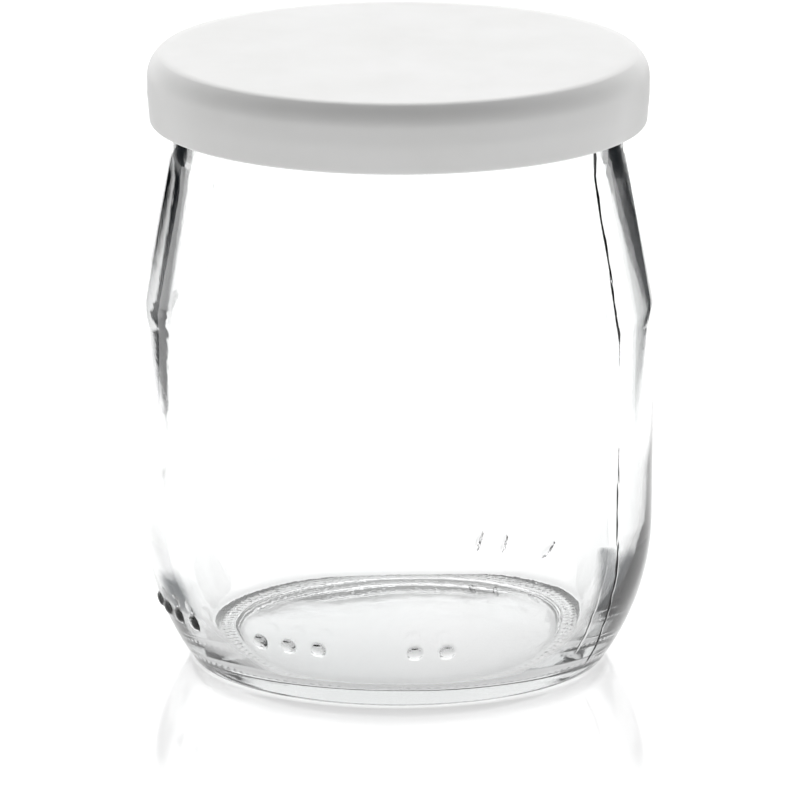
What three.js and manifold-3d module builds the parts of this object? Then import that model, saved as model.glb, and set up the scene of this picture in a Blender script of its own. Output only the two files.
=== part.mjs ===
// Glass jar for a yogurt maker, with its push-on plastic lid.
// Millimetres, +Z up. The origin is the centre of the jar's foot, on the surface that it stands on.
// The front is -Y, and a place round the jar is an angle from the front towards +X.
import * as THREE from "three";
import { mergeVertices } from "three/addons/utils/BufferGeometryUtils.js";
import Module from "manifold-3d";

const wasm = await Module();
wasm.setup();

// Driving dimensions of the jar.
const JAR = {
  heelRadius: 33.4, // of the arc from the foot up to the side
  heelTop: 20, // height where that arc meets the side
  sideLower: 35.2, // outer radius at the heel's top
  sideUpper: 35.3, // outer radius at the shoulder
  shoulderZ: 49.8,
  shoulderBlend: 3.2,
  neckZ: 71.8, // where the shoulder's taper meets the neck
  neckRadius: 31.2,
  neckBlend: 5,
  rimZ: 83.6,
  rimRadius: 31.6,
  rimRound: 1.1,
  wall: 2.3,
};
const FOOT = { round: 0.8, inner: 23.4, step: 0.35, pushUp: 1.6 };
const BEAD = { z: 80.3, radius: 32.45, halfHeight: 1.35 }; // the ring that the lid clips over
const BORE = {
  mouth: 28.9,
  heelRadius: 27.4, // of the long arc from the side down to the floor's corner
  heelTop: 20.8,
  heelLean: 38, // degrees that the arc turns through
  cornerRadius: 3,
  crown: 3.6, // height of the floor's middle
};

// Driving dimensions of the lid.
const LID = {
  topZ: 85.1,
  flatRadius: 32.9, // the flat top ends here in a crisp edge
  radius: 34.5,
  shoulderZ: 82,
  waistZ: 79.6,
  hemZ: 75.7,
  hemRadius: 34.2,
  hemRound: 0.35,
  panel: 1.2,
  bore: 33.15,
};
const CLIP = { z: 78, radius: 32.8, halfHeight: 0.9 }; // inner bead, under the jar's ring
const SEAL = { outer: 28.5, inner: 27.4, tip: 27.95, depth: 2.7 }; // fin inside the jar's mouth

// Raised marks round the heel: domes of a mould's dot row, and plain upright bars at the back.
const DOT = { z: 8.8, radius: 1.15, proud: 0.55, pitch: 7.65 };
const DOT_PLACES = [-10.5, -9.5, -8.5, -7.5, -4.5, -3.5, -2.5, 0.5, 1.5];
const BAR = { z: 6.6, width: 1, proud: 0.65 };
const BARS = [
  { angle: 137.8, length: 3.9, tilt: -28 }, // tilt is how far the bar leans off upright, in degrees
  { angle: 152, length: 3.2, tilt: -6 },
  { angle: 160, length: 3.9, tilt: -12 },
];

const FACETS = 64;
const SAG = 0.04; // the most that a chord of an outline stands off its arc
const BLEND_STEPS = 3; // chords along each free curve of an outline

const rad = THREE.MathUtils.degToRad;

// The points of an outline of (radius, height), with its curves cut into chords.
function pointsOf(outline) {
  const chordsIn = (curve) => {
    if (curve.isLineCurve) return 1;
    if (!curve.isEllipseCurve) return BLEND_STEPS;
    return Math.ceil(curve.getLength() / Math.sqrt(8 * curve.xRadius * SAG));
  };
  const points = outline.curves.flatMap((curve) => curve.getPoints(chordsIn(curve)));
  return points.filter((point, i) => i === 0 || point.distanceTo(points[i - 1]) > 1e-6);
}

// A closed body turned about Z; its outline runs anticlockwise and starts and ends on the axis.
function turned(outline) {
  return new THREE.LatheGeometry(pointsOf(outline), FACETS).rotateX(Math.PI / 2);
}

// A geometry as a manifold-3d solid, with its shared vertices merged.
function solidOf(geometry) {
  const bare = new THREE.BufferGeometry().setAttribute("position", geometry.getAttribute("position"));
  bare.setIndex(geometry.getIndex());
  const merged = mergeVertices(bare, 1e-4);
  const mesh = new wasm.Mesh({
    numProp: 3,
    vertProperties: merged.getAttribute("position").array,
    triVerts: new Uint32Array(merged.getIndex().array),
  });
  return new wasm.Manifold(mesh);
}

function geometryOf(solid) {
  const mesh = solid.getMesh();
  const geometry = new THREE.BufferGeometry();
  geometry.setAttribute("position", new THREE.BufferAttribute(mesh.vertProperties, 3));
  geometry.setIndex(new THREE.BufferAttribute(mesh.triVerts, 1));
  geometry.computeVertexNormals();
  return geometry;
}

// Rounds the corner at b, between straight runs to a and c, with an arc that touches both.
function roundCorner(outline, a, b, c, radius) {
  const [toA, toC] = [a, c].map((p) => p.clone().sub(b).normalize());
  const half = Math.acos(THREE.MathUtils.clamp(toA.dot(toC), -1, 1)) / 2;
  const run = radius / Math.tan(half);
  const start = b.clone().addScaledVector(toA, run);
  const end = b.clone().addScaledVector(toC, run);
  const middle = toA.clone().add(toC).normalize();
  const centre = b.clone().addScaledVector(middle, radius / Math.sin(half));
  const turn = toA.x * toC.y - toA.y * toC.x;
  outline.lineTo(start.x, start.y);
  outline.absarc(
    centre.x,
    centre.y,
    radius,
    start.clone().sub(centre).angle(),
    end.clone().sub(centre).angle(),
    turn > 0,
  );
}

// The foot's outer round, and the heel's arc that it runs into.
function heelArcs() {
  const heel = new THREE.Vector2(JAR.sideLower - JAR.heelRadius, JAR.heelTop);
  const drop = heel.y - FOOT.round;
  const reach = Math.sqrt((JAR.heelRadius - FOOT.round) ** 2 - drop ** 2);
  return { heel, foot: new THREE.Vector2(heel.x + reach, FOOT.round), joinAngle: -Math.atan2(drop, reach) };
}

// Outside: from the middle of the push-up, over the foot, heel, side, shoulder, neck and bead to the rim.
function outsideOfJar(outline) {
  const { heel, foot, joinAngle } = heelArcs();
  outline.moveTo(0, FOOT.pushUp);
  outline.quadraticCurveTo(FOOT.inner * 0.6, FOOT.pushUp, FOOT.inner - FOOT.step, FOOT.step);
  outline.lineTo(FOOT.inner, 0);
  outline.lineTo(foot.x, 0);
  outline.absarc(foot.x, foot.y, FOOT.round, -Math.PI / 2, joinAngle, false);
  outline.absarc(heel.x, heel.y, JAR.heelRadius, joinAngle, 0, false);
  const side = new THREE.Vector2(JAR.sideLower, JAR.heelTop);
  const shoulder = new THREE.Vector2(JAR.sideUpper, JAR.shoulderZ);
  const neck = new THREE.Vector2(JAR.neckRadius, JAR.neckZ);
  const beadFoot = new THREE.Vector2(JAR.neckRadius, BEAD.z - BEAD.halfHeight);
  roundCorner(outline, side, shoulder, neck, JAR.shoulderBlend);
  roundCorner(outline, shoulder, neck, beadFoot, JAR.neckBlend);
  outline.lineTo(beadFoot.x, beadFoot.y);
  outline.quadraticCurveTo(BEAD.radius, beadFoot.y + 0.1, BEAD.radius, BEAD.z);
  outline.quadraticCurveTo(BEAD.radius, BEAD.z + BEAD.halfHeight, JAR.rimRadius, BEAD.z + BEAD.halfHeight);
}

// Over the rim, then down the inside to the middle of the floor.
function insideOfJar(outline) {
  const { rimZ, rimRadius, rimRound, neckZ, shoulderZ, wall } = JAR;
  outline.lineTo(rimRadius, rimZ - rimRound);
  outline.absarc(rimRadius - rimRound, rimZ - rimRound, rimRound, 0, Math.PI / 2, false);
  outline.lineTo(BORE.mouth + rimRound, rimZ);
  outline.absarc(BORE.mouth + rimRound, rimZ - rimRound, rimRound, Math.PI / 2, Math.PI, false);
  const neck = new THREE.Vector2(BORE.mouth, neckZ);
  const shoulder = new THREE.Vector2(JAR.sideUpper - wall, shoulderZ - 0.1 * wall);
  const bore = JAR.sideLower - wall;
  roundCorner(outline, new THREE.Vector2(BORE.mouth, rimZ), neck, shoulder, JAR.neckBlend);
  roundCorner(outline, neck, shoulder, new THREE.Vector2(bore, JAR.heelTop), JAR.shoulderBlend);
  const lean = rad(BORE.heelLean);
  outline.absarc(bore - BORE.heelRadius, BORE.heelTop, BORE.heelRadius, 0, -lean, true);
  const gap = BORE.heelRadius - BORE.cornerRadius;
  const cornerR = bore - BORE.heelRadius + gap * Math.cos(lean);
  const cornerZ = BORE.heelTop - gap * Math.sin(lean);
  outline.absarc(cornerR, cornerZ, BORE.cornerRadius, -lean, -Math.PI / 2, true);
  outline.quadraticCurveTo(cornerR * 0.55, BORE.crown, 0, BORE.crown);
}

// Where the heel's outer face is at a height: its radius, and how far it leans out from vertical.
function heelAt(z) {
  const { heel } = heelArcs();
  const sine = (z - heel.y) / JAR.heelRadius;
  return { radius: heel.x + JAR.heelRadius * Math.sqrt(1 - sine ** 2), lean: Math.asin(sine) };
}

// A rounded lump on the heel: an ellipsoid whose third axis stands out of the face.
function heelMark(angle, z, tilt, size, sunk) {
  const { radius, lean } = heelAt(z);
  const lump = new THREE.SphereGeometry(1, 10, 6).scale(size.x, size.y, size.z);
  lump.rotateY(rad(tilt)).translate(0, sunk, 0).rotateX(-lean).translate(0, -radius, z);
  return solidOf(lump.rotateZ(rad(angle)));
}

function glassJar() {
  const outline = new THREE.Path();
  outsideOfJar(outline);
  insideOfJar(outline);
  let body = solidOf(turned(outline));
  for (const place of DOT_PLACES) {
    const size = new THREE.Vector3(DOT.radius, DOT.radius, DOT.radius);
    body = body.add(heelMark(place * DOT.pitch, DOT.z, 0, size, DOT.radius - DOT.proud));
  }
  for (const { angle, length, tilt } of BARS) {
    const size = new THREE.Vector3(BAR.width / 2, BAR.proud * 2, length / 2);
    body = body.add(heelMark(angle, BAR.z, tilt, size, BAR.proud));
  }
  const glass = new THREE.MeshStandardMaterial({ color: 0xeef4f4, roughness: 0.03, metalness: 0, opacity: 0.35 });
  glass.transparent = true;
  const jar = new THREE.Mesh(geometryOf(body), glass);
  jar.name = "glass_jar";
  return jar;
}

// The lid's underside: from its middle, past the fin that seals inside the jar's mouth, to the hem.
function undersideOfLid(outline) {
  const ceiling = LID.topZ - LID.panel;
  const tipZ = ceiling - SEAL.depth;
  outline.moveTo(0, ceiling);
  outline.lineTo(SEAL.inner - 0.1, ceiling);
  outline.quadraticCurveTo(SEAL.inner, tipZ, SEAL.tip, tipZ);
  outline.quadraticCurveTo(SEAL.outer, tipZ, SEAL.outer, ceiling - 0.5);
  outline.lineTo(SEAL.outer + 0.2, ceiling);
  outline.lineTo(LID.bore - 0.8, ceiling);
  outline.lineTo(LID.bore, ceiling - 0.8);
  outline.lineTo(LID.bore, CLIP.z + CLIP.halfHeight);
  outline.quadraticCurveTo(CLIP.radius, CLIP.z + CLIP.halfHeight / 2, CLIP.radius, CLIP.z);
  outline.quadraticCurveTo(CLIP.radius, CLIP.z - CLIP.halfHeight / 2, LID.bore, CLIP.z - CLIP.halfHeight);
  outline.lineTo(LID.bore, LID.hemZ + 0.5);
  outline.lineTo(LID.bore + 0.1, LID.hemZ);
}

// The lid's outer side: rounded hem, nearly upright skirt, rounded shoulder and a crisp top edge.
function outsideOfLid(outline) {
  const { topZ, shoulderZ, radius, hemZ, hemRadius, hemRound } = LID;
  const rise = topZ - shoulderZ;
  const run = radius - LID.flatRadius;
  const round = (run ** 2 + rise ** 2) / (2 * run);
  outline.lineTo(hemRadius - hemRound, hemZ);
  outline.absarc(hemRadius - hemRound, hemZ + hemRound, hemRound, -Math.PI / 2, 0, false);
  outline.lineTo(radius, LID.waistZ);
  outline.lineTo(radius, shoulderZ);
  outline.absarc(radius - round, shoulderZ, round, 0, Math.asin(rise / round), false);
  outline.lineTo(0, topZ);
}

function pushOnLid() {
  const outline = new THREE.Path();
  undersideOfLid(outline);
  outsideOfLid(outline);
  const plastic = new THREE.MeshStandardMaterial({ color: 0xf1f1ef, roughness: 0.45, metalness: 0 });
  const lid = new THREE.Mesh(geometryOf(solidOf(turned(outline))), plastic);
  lid.name = "lid";
  return lid;
}

const yogurtJar = new THREE.Group();
yogurtJar.name = "yogurt_jar";
yogurtJar.add(glassJar(), pushOnLid());

export default yogurtJar;
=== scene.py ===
"""A yogurt maker's glass jar with its push-on plastic lid, in a bright-field studio.

Metres, +Z up, the front is -Y. Outlines and the stage are written in millimetres and scaled by MM.
A place round the jar is an angle in degrees from the front towards +X.
"""
import math

import bpy
import numpy as np
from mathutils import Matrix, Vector

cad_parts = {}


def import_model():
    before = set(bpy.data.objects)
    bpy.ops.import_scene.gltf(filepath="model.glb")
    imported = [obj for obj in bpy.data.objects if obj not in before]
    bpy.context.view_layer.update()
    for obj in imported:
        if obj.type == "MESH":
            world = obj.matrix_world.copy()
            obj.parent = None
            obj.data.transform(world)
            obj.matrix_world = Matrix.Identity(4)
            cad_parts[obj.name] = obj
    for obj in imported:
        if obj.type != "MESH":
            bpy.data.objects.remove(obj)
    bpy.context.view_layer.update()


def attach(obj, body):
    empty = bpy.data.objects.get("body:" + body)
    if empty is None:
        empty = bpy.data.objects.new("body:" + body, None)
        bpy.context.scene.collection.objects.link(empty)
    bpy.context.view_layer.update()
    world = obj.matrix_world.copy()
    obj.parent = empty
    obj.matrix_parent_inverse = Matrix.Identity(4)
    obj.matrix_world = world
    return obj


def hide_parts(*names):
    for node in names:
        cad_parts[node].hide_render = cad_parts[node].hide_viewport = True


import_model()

MM = 0.001
TAU = 2 * math.pi

# ------------------------------------------------------------------ dimensions and levels

# In millimetres and degrees, unless a comment says otherwise.

# The jar's outside, from its foot to its rim.
FOOT_ROUND, FOOT_INNER, FOOT_STEP, PUSH_UP, PUSH_UP_PULL = 0.8, 23.4, 0.35, 1.6, 0.6
HEEL_RADIUS, HEEL_TOP = 33.4, 20.0
SIDE_LOWER, SIDE_UPPER = 35.2, 35.3
SHOULDER_Z, SHOULDER_BLEND = 49.8, 16.0
NECK_Z, NECK_RADIUS, NECK_BLEND = 71.8, 31.2, 5.0
BEAD_Z, BEAD_RADIUS, BEAD_HALF = 80.3, 32.45, 1.35
RIM_Z, RIM_RADIUS, RIM_ROUND = 83.6, 31.6, 1.1

# The jar's inside.
WALL = 2.3
BORE_MOUTH, BORE_NECK_BLEND, BORE_SHOULDER_BLEND = 28.9, 10.0, 12.8
BORE_HEEL, BORE_HEEL_TOP, BORE_LEAN = 27.4, 20.8, 38.0
BORE_CORNER, BORE_CROWN, CROWN_PULL, FLOOR_RUN, FLOOR_RISE = 3.0, 3.6, 0.55, 1.5, 0.03
BORE_SHIFT_HEIGHTS = (3, 10, 20, 30, 50, 70)
BORE_SHIFTS = (0.0, 0.1, 0.5, 0.8, 0.85, 0.0)  # how far the bore stands off centre, towards +X

# Raised marks round the heel: a row of domes, and upright bars at the back, each with its place,
# length and lean off upright.
DOT_Z, DOT_RADIUS, DOT_PROUD, DOT_PITCH = 8.8, 1.1, 0.5, 7.65
DOT_PLACES = (-10.5, -9.5, -8.5, -7.5, -4.5, -3.5, -2.5, 0.5, 1.5)  # in pitches round the jar
BAR_Z, BAR_WIDTH, BAR_PROUD = 6.6, 1.0, 0.65
BARS = ((137.8, 3.9, -28.0), (152.0, 3.2, -6.0), (160.0, 3.9, -12.0))
MARKS_LOW, MARKS_HIGH = 3.5, 14.0

# The mould's seam, up the jar at two places. How far it wanders, in degrees, and swells, as a
# share, are sums of sines, each with its size, radians per mm and start.
SEAM_PLACES, SEAM_PROUD, SEAM_WIDTH = (58.6, 238.6), (0.15, 0.03), 0.3
SEAM_LOW, SEAM_HIGH = 2, 83
SEAM_FADE_HEIGHTS, SEAM_FADES = (32, 35, 46, 49), (0.7, 0.2, 0.2, 1.2)
SEAM_WANDER = ((0.25, 0.45, 0), (0.14, 1.3, 1), (0.09, 2.9, 0))
SEAM_SWELL = ((0.35, 1.1, 2), (0.25, 2.3, 0))

# The two rows of ticks cut in under the foot.
KNURL_RADII, KNURL_COUNT, KNURL_DEPTH, KNURL_HALF = (24.6, 25.8), 118, 0.16, 0.55
KNURL_TOP = 0.3

# The bore's slow unevenness: each wave is its depth, number round the jar, twist per mm and start.
# It weakens to WAVES_LEAST over the shoulder, and to nothing at the middle of the floor.
WAVES = ((0.08, 2, 0.02, 0), (0.05, 3, 0.03, 1.3), (0.02, 7, 0.05, 0.6), (0.01, 13, -0.08, 0))
WAVES_LEAST, WAVES_SHOULDER, WAVES_MIDDLE = 0.25, (50, 72), (2, 24)

# The lid, the clip bead inside its skirt and the sealing fin under its top.
LID_TOP, LID_FLAT, LID_RADIUS, LID_SHOULDER = 85.1, 32.9, 34.5, 82.0
LID_WAIST, LID_HEM, LID_HEM_RADIUS, LID_HEM_ROUND = 79.6, 75.7, 34.2, 0.35
LID_PANEL, LID_BORE, LID_CORNER = 1.2, 33.15, 0.8
LEAD_IN_DEEP, LEAD_IN_HIGH = 0.35, 0.4
LID_FACETS = 288
CLIP_Z, CLIP_RADIUS, CLIP_HALF = 78.0, 32.8, 0.9
SEAL_OUTER, SEAL_INNER, SEAL_TIP, SEAL_DEPTH, SEAL_ROOT = 28.5, 27.4, 27.95, 2.7, 0.5

# How finely the jar is cut round its axis: everywhere, then (half span, step) at each kind of
# detail, and the least step that is kept.
FACET = 0.75
SEAM_FACETS, BAR_FACETS, DOT_FACETS = (1.2, 0.1), (2.3, 0.15), (2.5, 0.35)
FACET_LEAST = 0.04

# The floor: its half width in metres, its drop below the foot, and how it changes outwards. A
# change is its value near the jar, its value far off, and the metres where it starts and ends.
FLOOR_HALF, FLOOR_DROP = 40, 0.1
# The floor's glow stands in for lamplight, and is least under the jar, where it is a painted
# shadow.
GLOW_PAINTED_SHADOW_UNDER_JAR, GLOW_FAR_OFF = (0.5, 0.7, 0.024, 0.034), (0, 0.3, 0.06, 0.16)
FLOOR_ROUGHNESS, FLOOR_SPECULAR = (0.12, 0.9, 0.06, 0.14), (0.5, 0.1, 0.06, 0.14)

# The dark cards beside the jar, and the dim patches just over the floor, which are painted shade
# seen through the glass heel.
CARD_X, CARD_BACK = 122, 330
CARD_DARK = (0.01, 0.012, 0.014)
SHADE_Z = 0.4

# The sky brightens towards a direction, and the edges are the cosines where that starts and ends.
# Then come its two levels for mirrored rays, for rays through glass and for the light on dull
# surfaces, and the one level that the camera sees.
BEHIND, BEHIND_EDGES = (0, 1, 0), (-0.25, 0.45)
HIGH_BEHIND, HIGH_EDGES = (0, 0.8, 0.6), (0.5, 0.9)
MIRRORED, THROUGH, LIGHTING, SEEN = (0.12, 1.7), (0.7, 1.7), (0.06, 2.9), 1.0

# The camera: lens and sensor in mm, place and clipping in metres, and how far it looks down.
CAMERA_LENS, CAMERA_SENSOR = 436.8, 36
CAMERA_PLACE, CAMERA_CLIP, CAMERA_DOWN = (0.00022, -1.3, 0.3734), (0.05, 200), 14.56
BOUNCES, GLOSSY_BOUNCES = 48, 8


# ------------------------------------------------------------------ outlines

class Outline:
    """Points of (radius, height), laid along straight runs, arcs and free curves."""

    def __init__(self, r, z):
        self.points = [(r, z)]

    def _add(self, points):
        for p in points:
            if math.dist(p, self.points[-1]) > 1e-4:
                self.points.append(tuple(p))

    def line(self, r, z, step=1.5):
        r0, z0 = self.points[-1]
        n = max(1, round(math.dist((r0, z0), (r, z)) / step))
        self._add((r0 + (r - r0) * i / n, z0 + (z - z0) * i / n) for i in range(1, n + 1))

    def arc(self, r, z, radius, start, end, step):
        n = max(3, round(abs(end - start) * radius / step))
        angles = [start + (end - start) * i / n for i in range(n + 1)]
        self._add((r + radius * math.cos(a), z + radius * math.sin(a)) for a in angles)

    def curve(self, mid, end, steps=8):
        (r0, z0), (r1, z1), (r2, z2) = self.points[-1], mid, end
        for i in range(1, steps + 1):
            t = i / steps
            a, b, c = (1 - t) ** 2, 2 * t * (1 - t), t * t
            self._add([(a * r0 + b * r1 + c * r2, a * z0 + b * z1 + c * z2)])

    def corner(self, a, b, c, radius, step):
        """A straight run from the last point towards b, then an arc that rounds b towards c."""
        va = (Vector(a) - Vector(b)).normalized()
        vc = (Vector(c) - Vector(b)).normalized()
        half = math.acos(va.dot(vc)) / 2
        run = radius / math.tan(half)
        start, end = Vector(b) + va * run, Vector(b) + vc * run
        centre = Vector(b) + (va + vc).normalized() * radius / math.sin(half)
        self.line(start.x, start.y)
        a0 = math.atan2(start.y - centre.y, start.x - centre.x)
        a1 = math.atan2(end.y - centre.y, end.x - centre.x)
        turn = (a1 - a0 + math.pi) % TAU - math.pi
        self.arc(centre.x, centre.y, radius, a0, a0 + turn, step)


def turned(outline, angles, move=None):
    """Vertices and faces of an outline turned about Z, which runs anticlockwise from axis to axis.

    move(i, angles, point) gives, for ring i, how far its points stand out along their normal, and
    how far the whole ring is shifted in X and Y.
    """
    pts = np.array(outline.points)
    tangent = np.gradient(pts, axis=0)
    tangent /= np.linalg.norm(tangent, axis=1)[:, None]
    normal = np.stack([tangent[:, 1], -tangent[:, 0]], axis=1)
    verts, faces = [(0, 0, pts[0, 1])], []
    n = len(angles)
    sin, cos = np.sin(angles), np.cos(angles)
    for i in range(1, len(pts) - 1):
        r = np.full(n, pts[i, 0])
        z = np.full(n, pts[i, 1])
        dx = dy = 0
        if move:
            out, dx, dy = move(i, angles, pts[i])
            r = r + out * normal[i, 0]
            z = z + out * normal[i, 1]
        verts += list(zip(r * sin + dx, -r * cos + dy, z))
    verts.append((0, 0, pts[-1, 1]))
    rings = len(pts) - 2
    for j in range(n):
        k = (j + 1) % n
        faces.append((0, 1 + k, 1 + j))
        base = 1 + (rings - 1) * n
        faces.append((len(verts) - 1, base + j, base + k))
    for i in range(rings - 1):
        a, b = 1 + i * n, 1 + (i + 1) * n
        for j in range(n):
            k = (j + 1) % n
            faces.append((a + j, a + k, b + k, b + j))
    return np.array(verts) * MM, faces


def mesh_piece(name, verts, faces):
    mesh = bpy.data.meshes.new(name)
    mesh.from_pydata([tuple(v) for v in verts], [], faces)
    mesh.validate()
    mesh.update()
    mesh.polygons.foreach_set("use_smooth", [True] * len(mesh.polygons))
    piece = bpy.data.objects.new(name, mesh)
    bpy.context.scene.collection.objects.link(piece)
    return piece


# ------------------------------------------------------------------ the jar

def heel_arcs():
    """The heel arc's centre radius, the foot's, and the angle where their arcs meet."""
    heel_r = SIDE_LOWER - HEEL_RADIUS
    drop = HEEL_TOP - FOOT_ROUND
    reach = math.sqrt((HEEL_RADIUS - FOOT_ROUND) ** 2 - drop ** 2)
    return heel_r, heel_r + reach, -math.atan2(drop, reach)


def jar_outline():
    """The jar's section, and how many of its points are on the outside."""
    heel_r, foot_r, join = heel_arcs()
    line = Outline(0, PUSH_UP)
    line.curve((FOOT_INNER * PUSH_UP_PULL, PUSH_UP), (FOOT_INNER - FOOT_STEP, FOOT_STEP), steps=16)
    line.curve((FOOT_INNER - 0.1, 0.05), (FOOT_INNER + 0.5, 0), steps=4)
    line.line(foot_r, 0, step=0.3)
    line.arc(foot_r, FOOT_ROUND, FOOT_ROUND, -math.pi / 2, join, step=0.2)
    line.arc(heel_r, HEEL_TOP, HEEL_RADIUS, join, 0, step=0.25)
    side, shoulder = (SIDE_LOWER, HEEL_TOP), (SIDE_UPPER, SHOULDER_Z)
    neck, bead_foot = (NECK_RADIUS, NECK_Z), (NECK_RADIUS, BEAD_Z - BEAD_HALF)
    line.corner(side, shoulder, neck, SHOULDER_BLEND, step=0.4)
    line.corner(shoulder, neck, bead_foot, NECK_BLEND, step=0.25)
    line.line(*bead_foot)
    line.curve((BEAD_RADIUS, bead_foot[1] + 0.1), (BEAD_RADIUS, BEAD_Z), steps=6)
    line.curve((BEAD_RADIUS, BEAD_Z + BEAD_HALF), (RIM_RADIUS, BEAD_Z + BEAD_HALF), steps=6)
    line.line(RIM_RADIUS, RIM_Z - RIM_ROUND)
    line.arc(RIM_RADIUS - RIM_ROUND, RIM_Z - RIM_ROUND, RIM_ROUND, 0, math.pi / 2, step=0.2)
    outer = len(line.points)
    line.line(BORE_MOUTH + RIM_ROUND, RIM_Z)
    line.arc(BORE_MOUTH + RIM_ROUND, RIM_Z - RIM_ROUND, RIM_ROUND, math.pi / 2, math.pi, step=0.2)
    in_neck, in_shoulder = (BORE_MOUTH, NECK_Z), (SIDE_UPPER - WALL, SHOULDER_Z - 0.1 * WALL)
    bore = SIDE_LOWER - WALL
    line.corner((BORE_MOUTH, RIM_Z), in_neck, in_shoulder, BORE_NECK_BLEND, step=0.4)
    line.corner(in_neck, in_shoulder, (bore, HEEL_TOP), BORE_SHOULDER_BLEND, step=0.4)
    line.line(bore, BORE_HEEL_TOP)
    lean = math.radians(BORE_LEAN)
    line.arc(bore - BORE_HEEL, BORE_HEEL_TOP, BORE_HEEL, 0, -lean, step=0.5)
    end_r, end_z = line.points[-1]
    corner_r = end_r - BORE_CORNER * math.cos(lean)
    corner_z = end_z + BORE_CORNER * math.sin(lean)
    line.arc(corner_r, corner_z, BORE_CORNER, -lean, -math.pi / 2, step=0.2)
    line.line(corner_r - FLOOR_RUN, corner_z - BORE_CORNER + FLOOR_RISE)
    line.curve((corner_r * CROWN_PULL, BORE_CROWN), (0, BORE_CROWN), steps=20)
    return line, outer


def around(angle, centre):
    """Signed distance in degrees from a centre angle, in degrees."""
    return (np.degrees(angle) - centre + 180) % 360 - 180


def smooth_step(x, lo, hi):
    t = np.clip((x - lo) / (hi - lo), 0, 1)
    return t * t * (3 - 2 * t)


def jar_angles():
    """Where the jar is cut round its axis, finer at its seams, bars and dots."""

    def near(place, half, step):
        return np.arange(place - half, place + half + step / 10, step)

    cuts = [np.arange(-180, 180, FACET)]
    cuts += [near(place, *SEAM_FACETS) for place in SEAM_PLACES]
    cuts += [near(place, *BAR_FACETS) for place, _, _ in BARS]
    cuts += [near(place * DOT_PITCH, *DOT_FACETS) for place in DOT_PLACES]
    angles = np.sort((np.concatenate(cuts) + 180) % 360 - 180)
    return np.radians(angles[np.append(np.diff(angles) > FACET_LEAST, True)])


def heel_marks(angle, r, z):
    """How far the dots and bars stand out of the heel."""
    out = np.zeros_like(angle)
    lean = math.asin((HEEL_TOP - z) / HEEL_RADIUS)
    along = (z - DOT_Z) / math.cos(lean)
    for place in DOT_PLACES:
        d = np.hypot(np.radians(around(angle, place * DOT_PITCH)) * r, along) / DOT_RADIUS
        out += DOT_PROUD * np.sqrt(np.clip(1 - d * d, 0, 1))
    up = along + (DOT_Z - BAR_Z) / math.cos(lean)
    for centre, length, tilt in BARS:
        side = np.radians(around(angle, centre)) * r
        s, c = math.sin(math.radians(tilt)), math.cos(math.radians(tilt))
        d = np.hypot((side * c - up * s) / (BAR_WIDTH / 2), (side * s + up * c) / (length / 2))
        out += BAR_PROUD * np.clip(1 - d, 0, 1)
    return out


def knurl(angle, r):
    """How far the two rows of ticks under the foot are cut in."""
    out = np.zeros_like(angle)
    for row, radius in enumerate(KNURL_RADII):
        tick = 0.5 + 0.5 * np.cos(angle * KNURL_COUNT + row * math.pi)
        out -= KNURL_DEPTH * tick ** 2 * max(0, 1 - ((r - radius) / KNURL_HALF) ** 2)
    return out


def ripple(z, parts):
    """A sum of sines up the jar."""
    return sum(size * math.sin(rate * z + start) for size, rate, start in parts)


def seams(angle, z):
    """How far the mould's seams stand out: thin lines that wander and swell on their way up."""
    wander = ripple(z, SEAM_WANDER)
    swell = (1 + ripple(z, SEAM_SWELL)) * np.interp(z, SEAM_FADE_HEIGHTS, SEAM_FADES)
    out = np.zeros_like(angle)
    for centre, proud in zip(SEAM_PLACES, SEAM_PROUD):
        out += proud * swell * np.exp(-(around(angle, centre + wander) / SEAM_WIDTH) ** 2)
    return out


def waves(angle, z):
    """Slow unevenness of the bore, as glass has from its mould."""
    even = (1 - WAVES_LEAST) * smooth_step(z, *WAVES_SHOULDER)
    return (1 - even) * sum(
        depth * np.cos(number * angle + twist * z + start) for depth, number, twist, start in WAVES
    )


def jar_piece():
    outline, outer = jar_outline()

    def move(i, angle, point):
        r, z = point
        if i >= outer:
            off_axis = smooth_step(r, *WAVES_MIDDLE)
            shift = np.interp(z, BORE_SHIFT_HEIGHTS, BORE_SHIFTS)
            return waves(angle, z) * off_axis, shift * off_axis, 0
        out = np.zeros_like(angle)
        if MARKS_LOW < z < MARKS_HIGH:
            out += heel_marks(angle, r, z)
        if z < KNURL_TOP:
            out += knurl(angle, r)
        if SEAM_LOW < z < SEAM_HIGH:
            out += seams(angle, z)
        return out, 0, 0

    verts, faces = turned(outline, jar_angles(), move)
    return mesh_piece("glass_jar_visual", verts, faces)


# ------------------------------------------------------------------ the lid

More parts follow.
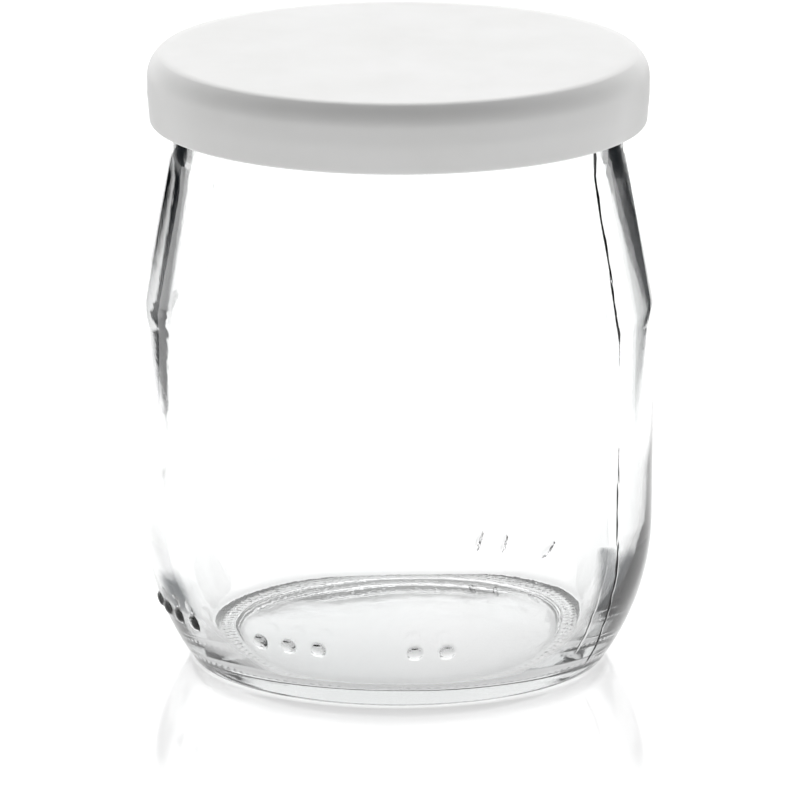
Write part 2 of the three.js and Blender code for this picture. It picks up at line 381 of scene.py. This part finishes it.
def lid_outline():
    """The lid's section, from the middle of its ceiling down to its hem, then up to its top."""
    ceiling = LID_TOP - LID_PANEL
    tip = ceiling - SEAL_DEPTH
    rise, run = LID_TOP - LID_SHOULDER, LID_RADIUS - LID_FLAT
    round_r = (run ** 2 + rise ** 2) / (2 * run)
    line = Outline(0, ceiling)
    line.line(SEAL_INNER - 0.1, ceiling)
    line.curve((SEAL_INNER, tip), (SEAL_TIP, tip))
    line.curve((SEAL_OUTER, tip), (SEAL_OUTER, ceiling - SEAL_ROOT))
    line.curve((SEAL_OUTER, ceiling), (SEAL_OUTER + SEAL_ROOT, ceiling), steps=4)
    line.line(LID_BORE - LID_CORNER, ceiling)
    line.curve((LID_BORE, ceiling), (LID_BORE, ceiling - LID_CORNER), steps=5)
    line.line(LID_BORE, CLIP_Z + CLIP_HALF)
    line.curve((CLIP_RADIUS, CLIP_Z + CLIP_HALF / 2), (CLIP_RADIUS, CLIP_Z), steps=5)
    line.curve((CLIP_RADIUS, CLIP_Z - CLIP_HALF / 2), (LID_BORE, CLIP_Z - CLIP_HALF), steps=5)
    line.line(LID_BORE, LID_HEM + LEAD_IN_HIGH)
    line.curve((LID_BORE, LID_HEM), (LID_BORE + LEAD_IN_DEEP, LID_HEM), steps=4)
    hem = LID_HEM_RADIUS - LID_HEM_ROUND
    line.line(hem, LID_HEM)
    line.arc(hem, LID_HEM + LID_HEM_ROUND, LID_HEM_ROUND, -math.pi / 2, 0, step=0.1)
    line.line(LID_RADIUS, LID_WAIST, step=0.6)
    line.line(LID_RADIUS, LID_SHOULDER, step=0.6)
    line.arc(LID_RADIUS - round_r, LID_SHOULDER, round_r, 0, math.asin(rise / round_r), step=0.25)
    line.line(0, LID_TOP)
    return line


def lid_piece():
    angles = np.radians(np.linspace(-180, 180, LID_FACETS, endpoint=False))
    verts, faces = turned(lid_outline(), angles)
    return mesh_piece("lid_visual", verts, faces)


# ------------------------------------------------------------------ materials

def material(name):
    """A new material, with its nodes, links and main shader."""
    mat = bpy.data.materials.new(name)
    mat.use_nodes = True
    nodes, links = mat.node_tree.nodes, mat.node_tree.links
    return mat, nodes, links, nodes["Principled BSDF"]


def noise(nodes, links, scale, detail=3, rough=0.5, stretch=None):
    """Noise over the object, with cells about 1 / scale metres across."""
    coords = nodes.new("ShaderNodeTexCoord")
    tex = nodes.new("ShaderNodeTexNoise")
    tex.inputs["Scale"].default_value = scale
    tex.inputs["Detail"].default_value = detail
    tex.inputs["Roughness"].default_value = rough
    if stretch:
        mapping = nodes.new("ShaderNodeMapping")
        mapping.inputs["Scale"].default_value = stretch
        links.new(coords.outputs["Object"], mapping.inputs["Vector"])
        links.new(mapping.outputs["Vector"], tex.inputs["Vector"])
    else:
        links.new(coords.outputs["Object"], tex.inputs["Vector"])
    return tex.outputs["Fac"]


def ramp(nodes, links, factor, low, high, start=0.3, end=0.7):
    """Low to high as the factor goes from start to end, and level outside that."""
    node = nodes.new("ShaderNodeMapRange")
    node.inputs["From Min"].default_value = start
    node.inputs["From Max"].default_value = end
    node.inputs["To Min"].default_value = low
    node.inputs["To Max"].default_value = high
    links.new(factor, node.inputs["Value"])
    return node.outputs["Result"]


def mix_colour(nodes, links, factor, a, b):
    node = nodes.new("ShaderNodeMix")
    node.data_type = "RGBA"
    node.inputs["A"].default_value = (*a, 1)
    node.inputs["B"].default_value = (*b, 1)
    links.new(factor, node.inputs["Factor"])
    return node.outputs["Result"]


def bump(nodes, links, heights, shader):
    """Stacks bumps: (height output, distance in mm)."""
    last = None
    for height, distance in heights:
        node = nodes.new("ShaderNodeBump")
        node.inputs["Strength"].default_value = 1.0
        node.inputs["Distance"].default_value = distance * MM
        links.new(height, node.inputs["Height"])
        if last:
            links.new(last, node.inputs["Normal"])
        last = node.outputs["Normal"]
    links.new(last, shader.inputs["Normal"])


def glass_material():
    mat, nodes, links, shader = material("clear_glass")
    shader.inputs["Transmission Weight"].default_value = 1.0
    shader.inputs["IOR"].default_value = 1.52
    patch = ramp(nodes, links, noise(nodes, links, 40), 0, 1)
    tint = mix_colour(nodes, links, patch, (0.975, 0.985, 0.985), (0.99, 0.99, 0.99))
    links.new(tint, shader.inputs["Base Color"])
    haze = ramp(nodes, links, noise(nodes, links, 160, detail=5), 0, 0.012, start=0.5, end=0.8)
    links.new(haze, shader.inputs["Roughness"])
    slow = noise(nodes, links, 90, detail=2, rough=0.4, stretch=(1, 1, 0.15))
    fine = noise(nodes, links, 700, rough=0.6)
    bump(nodes, links, [(slow, 0.018), (fine, 0.004)], shader)
    depth = nodes.new("ShaderNodeVolumeAbsorption")
    depth.inputs["Color"].default_value = (0.235, 0.25, 0.25, 1)
    depth.inputs["Density"].default_value = 15
    links.new(depth.outputs["Volume"], nodes["Material Output"].inputs["Volume"])
    return mat


def plastic_material():
    mat, nodes, links, shader = material("white_plastic")
    patch = ramp(nodes, links, noise(nodes, links, 60), 0, 1)
    white = mix_colour(nodes, links, patch, (0.83, 0.83, 0.82), (0.87, 0.87, 0.865))
    links.new(white, shader.inputs["Base Color"])
    satin = ramp(nodes, links, noise(nodes, links, 500, detail=4), 0.36, 0.48)
    links.new(satin, shader.inputs["Roughness"])
    shader.inputs["IOR"].default_value = 1.5
    shader.inputs["Specular IOR Level"].default_value = 0.2
    grain = noise(nodes, links, 1400, detail=4, rough=0.6)
    sink = noise(nodes, links, 120, detail=2)
    bump(nodes, links, [(sink, 0.03), (grain, 0.006)], shader)
    return mat


# ------------------------------------------------------------------ pieces

jar = jar_piece()
jar.data.materials.append(glass_material())
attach(jar, "jar")
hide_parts("glass_jar")

lid = lid_piece()
lid.data.materials.append(plastic_material())
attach(lid, "lid")
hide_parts("lid")


# ------------------------------------------------------------------ stage, light and camera

def veil(name, points, fades, faces, colour):
    """A dull dark sheet, clear where its fade is 0, seen only by way of the glass."""
    mesh = bpy.data.meshes.new(name)
    mesh.from_pydata([tuple(c * MM for c in p) for p in points], [], faces)
    fade = mesh.attributes.new("fade", "FLOAT", "POINT")
    fade.data.foreach_set("value", fades)
    piece = bpy.data.objects.new(name, mesh)
    bpy.context.scene.collection.objects.link(piece)
    mat, nodes, links, shader = material(name)
    shader.inputs["Base Color"].default_value = (*colour, 1)
    shader.inputs["Roughness"].default_value = 1
    shader.inputs["Specular IOR Level"].default_value = 0
    cover = nodes.new("ShaderNodeAttribute")
    cover.attribute_name = "fade"
    links.new(cover.outputs["Fac"], shader.inputs["Alpha"])
    mesh.materials.append(mat)
    piece.visible_camera = piece.visible_shadow = piece.visible_diffuse = False
    return piece


def floor():
    """A pale floor that glows in place of lamplight, least under the jar as a painted shadow, and
    is smoothest round the jar.
    """
    mesh = bpy.data.meshes.new("floor")
    h = FLOOR_HALF
    mesh.from_pydata([(-h, -h, 0), (h, -h, 0), (h, h, 0), (-h, h, 0)], [], [(0, 1, 2, 3)])
    piece = bpy.data.objects.new("floor", mesh)
    bpy.context.scene.collection.objects.link(piece)
    mat, nodes, links, shader = material("pale_floor")
    patch = ramp(nodes, links, noise(nodes, links, 3), 0, 1)
    pale = mix_colour(nodes, links, patch, (0.25, 0.25, 0.25), (0.27, 0.27, 0.27))
    links.new(pale, shader.inputs["Base Color"])
    shader.inputs["IOR"].default_value = 1.5
    shader.inputs["Emission Color"].default_value = (1, 1, 1, 1)
    place = nodes.new("ShaderNodeTexCoord")
    reach = nodes.new("ShaderNodeVectorMath")
    reach.operation = "LENGTH"
    links.new(place.outputs["Object"], reach.inputs[0])

    def outward(low, high, start, end):
        return ramp(nodes, links, reach.outputs["Value"], low, high, start, end)

    glow = nodes.new("ShaderNodeMath")
    glow.operation = "ADD"
    # Painted shadow: the glow is least under the jar.
    links.new(outward(*GLOW_PAINTED_SHADOW_UNDER_JAR), glow.inputs[0])
    links.new(outward(*GLOW_FAR_OFF), glow.inputs[1])
    links.new(glow.outputs["Value"], shader.inputs["Emission Strength"])
    links.new(outward(*FLOOR_ROUGHNESS), shader.inputs["Roughness"])
    links.new(outward(*FLOOR_SPECULAR), shader.inputs["Specular IOR Level"])
    mesh.materials.append(mat)
    piece.location.z = -FLOOR_DROP * MM


def card(name, x, near, rows):
    """A dark card on edge to one side, from near to far back. A row is a height and its fade."""
    points = [(x, y, z) for z, _ in rows for y in (near, CARD_BACK)]
    fades = [fade for _, fade in rows for _ in range(2)]
    faces = [(2 * i, 2 * i + 1, 2 * i + 3, 2 * i + 2) for i in range(len(rows) - 1)]
    veil(name, points, fades, faces, CARD_DARK)


def shade(name, outer, inner, colour):
    """A dim patch of painted shade just over the floor, full inside its inner corners, clear at
    its outer ones.
    """
    n = len(outer)
    points = [(x, y, SHADE_Z) for x, y in outer + inner]
    faces = [tuple(range(n, 2 * n))] + [(i, (i + 1) % n, n + (i + 1) % n, n + i) for i in range(n)]
    veil(name, points, [0] * n + [1] * n, faces, colour).visible_glossy = False


def sky(nodes, links, toward, edges, levels):
    """Brightness of a sky that rises from one level to another towards a direction."""
    coords = nodes.new("ShaderNodeTexCoord")
    facing = nodes.new("ShaderNodeVectorMath")
    facing.operation = "DOT_PRODUCT"
    facing.inputs[1].default_value = toward
    links.new(coords.outputs["Generated"], facing.inputs[0])
    level = nodes.new("ShaderNodeMapRange")
    level.interpolation_type = "SMOOTHSTEP"
    level.inputs["From Min"].default_value, level.inputs["From Max"].default_value = edges
    level.inputs["To Min"].default_value, level.inputs["To Max"].default_value = levels
    links.new(facing.outputs["Value"], level.inputs["Value"])
    return level.outputs["Result"]


def world():
    """A sky bright behind the jar and dim in front, which lights dull surfaces from behind."""
    w = bpy.data.worlds.new("studio")
    bpy.context.scene.world = w
    w.use_nodes = True
    w.cycles.sampling_method = "NONE"
    nodes, links = w.node_tree.nodes, w.node_tree.links
    back = nodes["Background"]
    back.inputs["Color"].default_value = (1, 1, 1, 1)
    seen = nodes.new("ShaderNodeLightPath")

    def choose(kind, yes, no):
        """One value for rays of a kind, and another for the rest."""
        node = nodes.new("ShaderNodeMix")
        links.new(seen.outputs[kind], node.inputs["Factor"])
        for socket, value in (("A", no), ("B", yes)):
            if isinstance(value, float):
                node.inputs[socket].default_value = value
            else:
                links.new(value, node.inputs[socket])
        return node.outputs["Result"]

    mirrored = sky(nodes, links, BEHIND, BEHIND_EDGES, MIRRORED)
    through = sky(nodes, links, BEHIND, BEHIND_EDGES, THROUGH)
    lighting = sky(nodes, links, HIGH_BEHIND, HIGH_EDGES, LIGHTING)
    level = choose("Is Transmission Ray", through, mirrored)
    level = choose("Is Diffuse Ray", lighting, level)
    links.new(choose("Is Camera Ray", SEEN, level), back.inputs["Strength"])


def camera():
    """A long lens, looking down at the jar's front as in the photo."""
    cam = bpy.data.objects.new("camera", bpy.data.cameras.new("camera"))
    bpy.context.scene.collection.objects.link(cam)
    cam.data.lens, cam.data.sensor_width = CAMERA_LENS, CAMERA_SENSOR
    cam.location = CAMERA_PLACE
    cam.rotation_euler = (math.radians(90 - CAMERA_DOWN), 0, 0)
    cam.data.clip_start, cam.data.clip_end = CAMERA_CLIP
    bpy.context.scene.camera = cam


floor()
card("flag_left", -CARD_X, 85, ((0, 0), (5, 1), (55, 1)))
card("flag_right", CARD_X, 76, ((0, 0), (5, 1), (72, 1)))
# Painted shade seen through the glass heel: dim patches beside the foot, darkening its edges.
shade(
    "painted_shade_left",
    ((-34, -12), (-36, 12), (-41, 24), (-47, 24), (-55, 12), (-55, -9)),
    ((-39, -4), (-38, 9), (-42, 16), (-45, 16), (-47, 8), (-46, -2)),
    (0.1, 0.115, 0.125),
)
shade(
    "painted_shade_right",
    ((31, -14), (54, -12), (56, 16), (39, 25), (32, 37)),
    ((34, -8), (47, -6), (47, 13), (38, 19), (34, 30)),
    (0.11, 0.12, 0.13),
)
world()
camera()

scene = bpy.context.scene
scene.view_settings.view_transform = "Standard"
scene.cycles.max_bounces = scene.cycles.transmission_bounces = BOUNCES
scene.cycles.glossy_bounces = GLOSSY_BOUNCES
